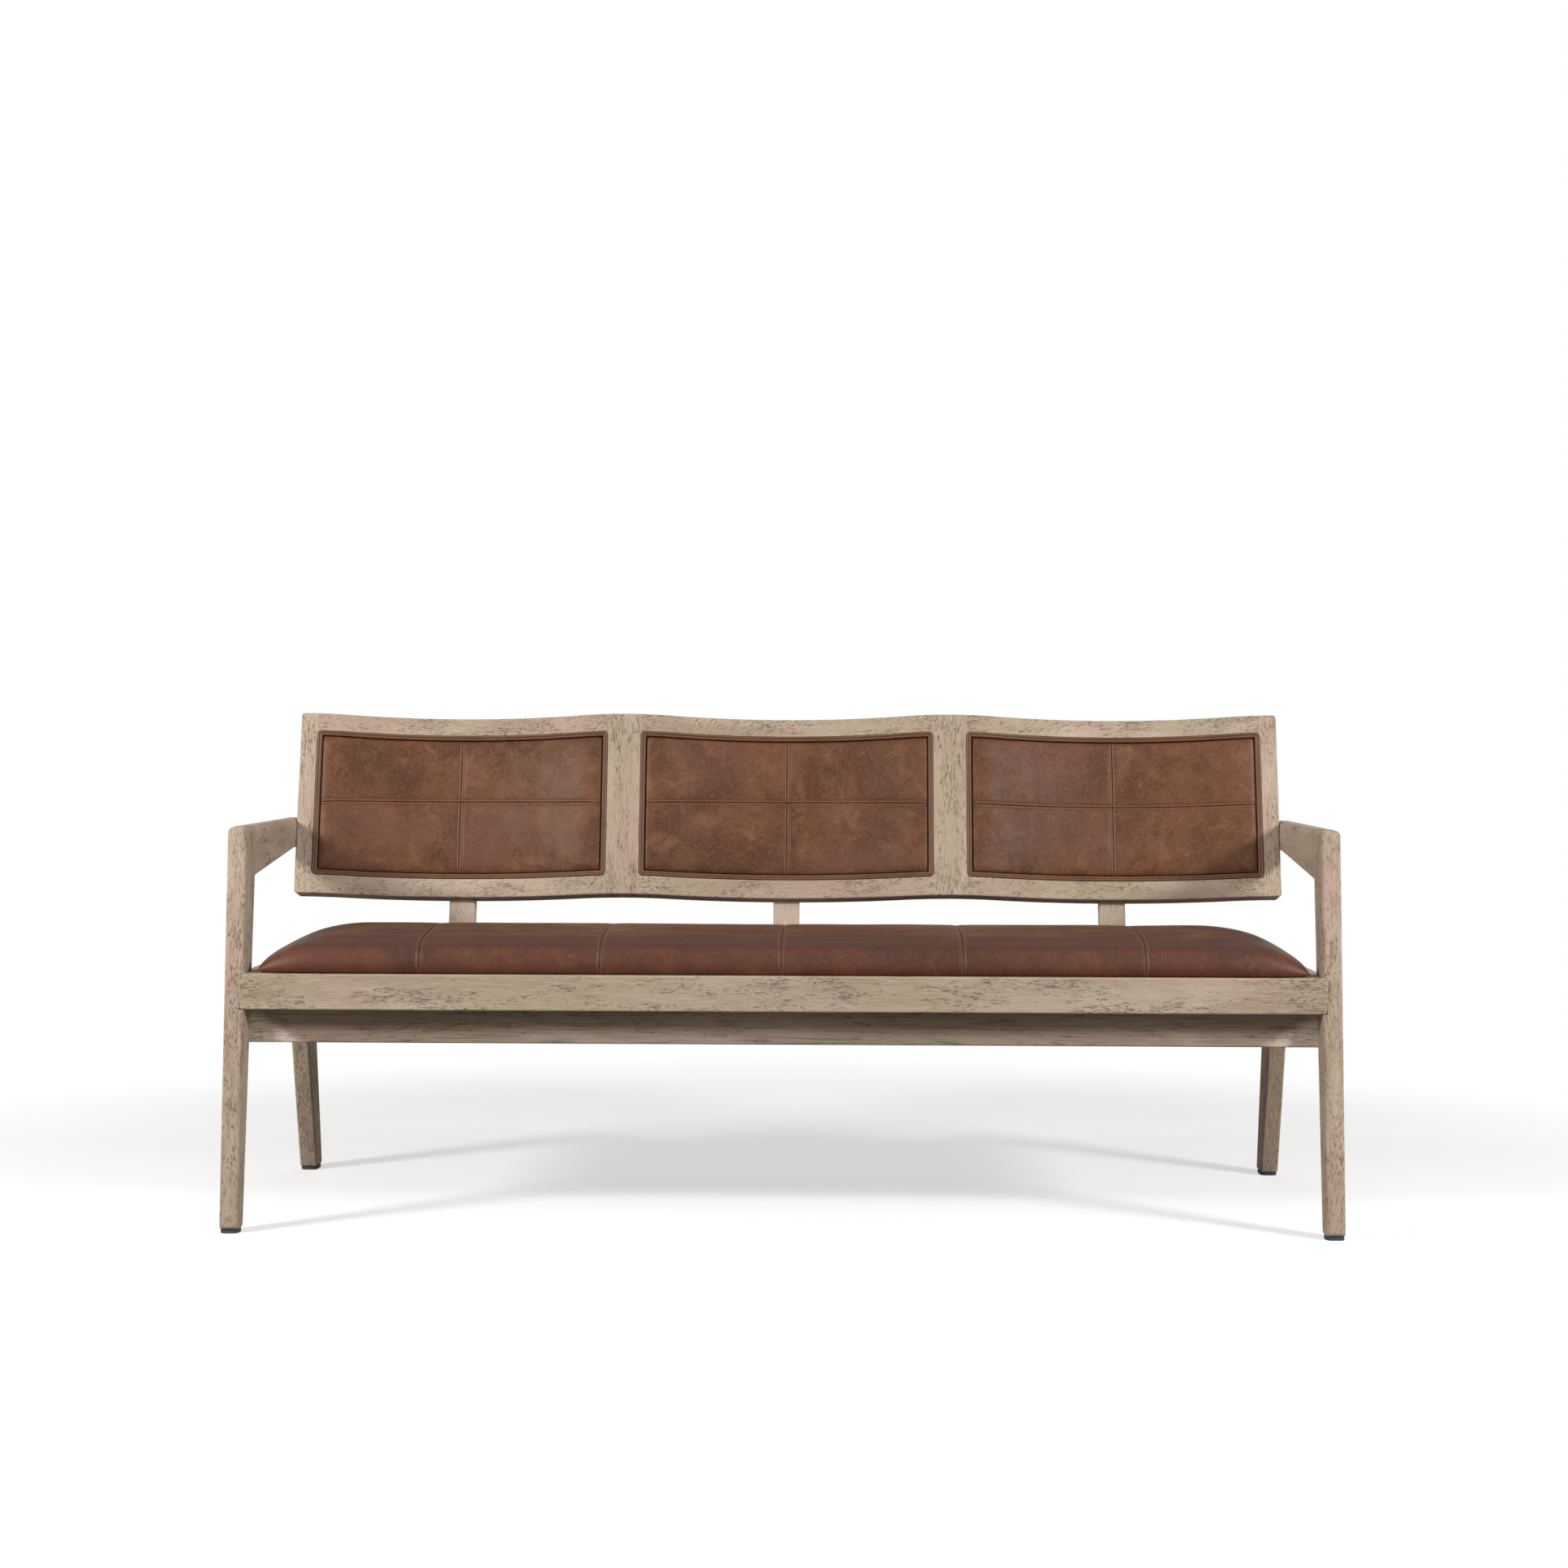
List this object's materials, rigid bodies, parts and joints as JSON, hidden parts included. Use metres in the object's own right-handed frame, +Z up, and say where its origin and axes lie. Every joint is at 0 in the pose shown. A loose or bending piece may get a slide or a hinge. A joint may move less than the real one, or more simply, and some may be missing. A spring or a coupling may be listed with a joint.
{
  "type": "upholstered bench",
  "caption": "Long wooden bench with plank side frames, low armrests, a channelled leather seat and a back of hollowed wooden frames holding leather panels.",
  "frame": {"origin": "on the floor, under the middle of the bench's bounding box", "axes": "+X to the right as seen from the front, +Y to the rear, +Z up; the front faces -Y"},
  "size_m": [1.8, 0.6613, 0.8417],
  "materials": {
    "weathered_oak": "whitewashed, weathered grain, matte",
    "inner_oak": "whitewashed, sanded, matte",
    "seat_leather": "waxed, mottled, soft sheen",
    "panel_leather": "waxed, mottled, soft sheen",
    "back_leather": "waxed, mottled, soft sheen",
    "leather_piping": "waxed, soft sheen",
    "plywood": "raw plywood",
    "dowel_beech": "raw fluted beech",
    "steel": "zinc plated",
    "glide_rubber": "matte dark grey"
  },
  "bodies": {
    "root": {"arm_dowels": "dowel_beech", "back_dowels": "dowel_beech", "deck_screws": "steel", "front_apron": "weathered_oak", "front_seat_rail": "weathered_oak", "left_armrest": "weathered_oak", "left_back_post": "weathered_oak", "left_front_corner_block": "inner_oak", "left_front_glide": "glide_rubber", "left_front_leg": "weathered_oak", "left_panel_board": "plywood", "left_panel_bottom_rail": "weathered_oak", "left_panel_left_stile": "weathered_oak", "left_panel_pad": "panel_leather", "left_panel_piping": "leather_piping", "left_panel_rear_pad": "back_leather", "left_panel_right_stile": "weathered_oak", "left_panel_top_rail": "weathered_oak", "left_rear_corner_block": "inner_oak", "left_rear_glide": "glide_rubber", "left_rear_leg": "weathered_oak", "left_seat_bearer": "inner_oak", "left_side_rail": "weathered_oak", "middle_back_post": "weathered_oak", "middle_panel_board": "plywood", "middle_panel_bottom_rail": "weathered_oak", "middle_panel_left_stile": "weathered_oak", "middle_panel_pad": "panel_leather", "middle_panel_piping": "leather_piping", "middle_panel_rear_pad": "back_leather", "middle_panel_right_stile": "weathered_oak", "middle_panel_top_rail": "weathered_oak", "post_screws": "steel", "rear_seat_rail": "inner_oak", "right_armrest": "weathered_oak", "right_back_post": "weathered_oak", "right_front_corner_block": "inner_oak", "right_front_glide": "glide_rubber", "right_front_leg": "weathered_oak", "right_panel_board": "plywood", "right_panel_bottom_rail": "weathered_oak", "right_panel_left_stile": "weathered_oak", "right_panel_pad": "panel_leather", "right_panel_piping": "leather_piping", "right_panel_rear_pad": "back_leather", "right_panel_right_stile": "weathered_oak", "right_panel_top_rail": "weathered_oak", "right_rear_corner_block": "inner_oak", "right_rear_glide": "glide_rubber", "right_rear_leg": "weathered_oak", "right_seat_bearer": "inner_oak", "right_side_rail": "weathered_oak", "seat_board": "plywood", "seat_cushion": "seat_leather", "seat_frame_dowels": "dowel_beech"}
  },
  "joints": []
}
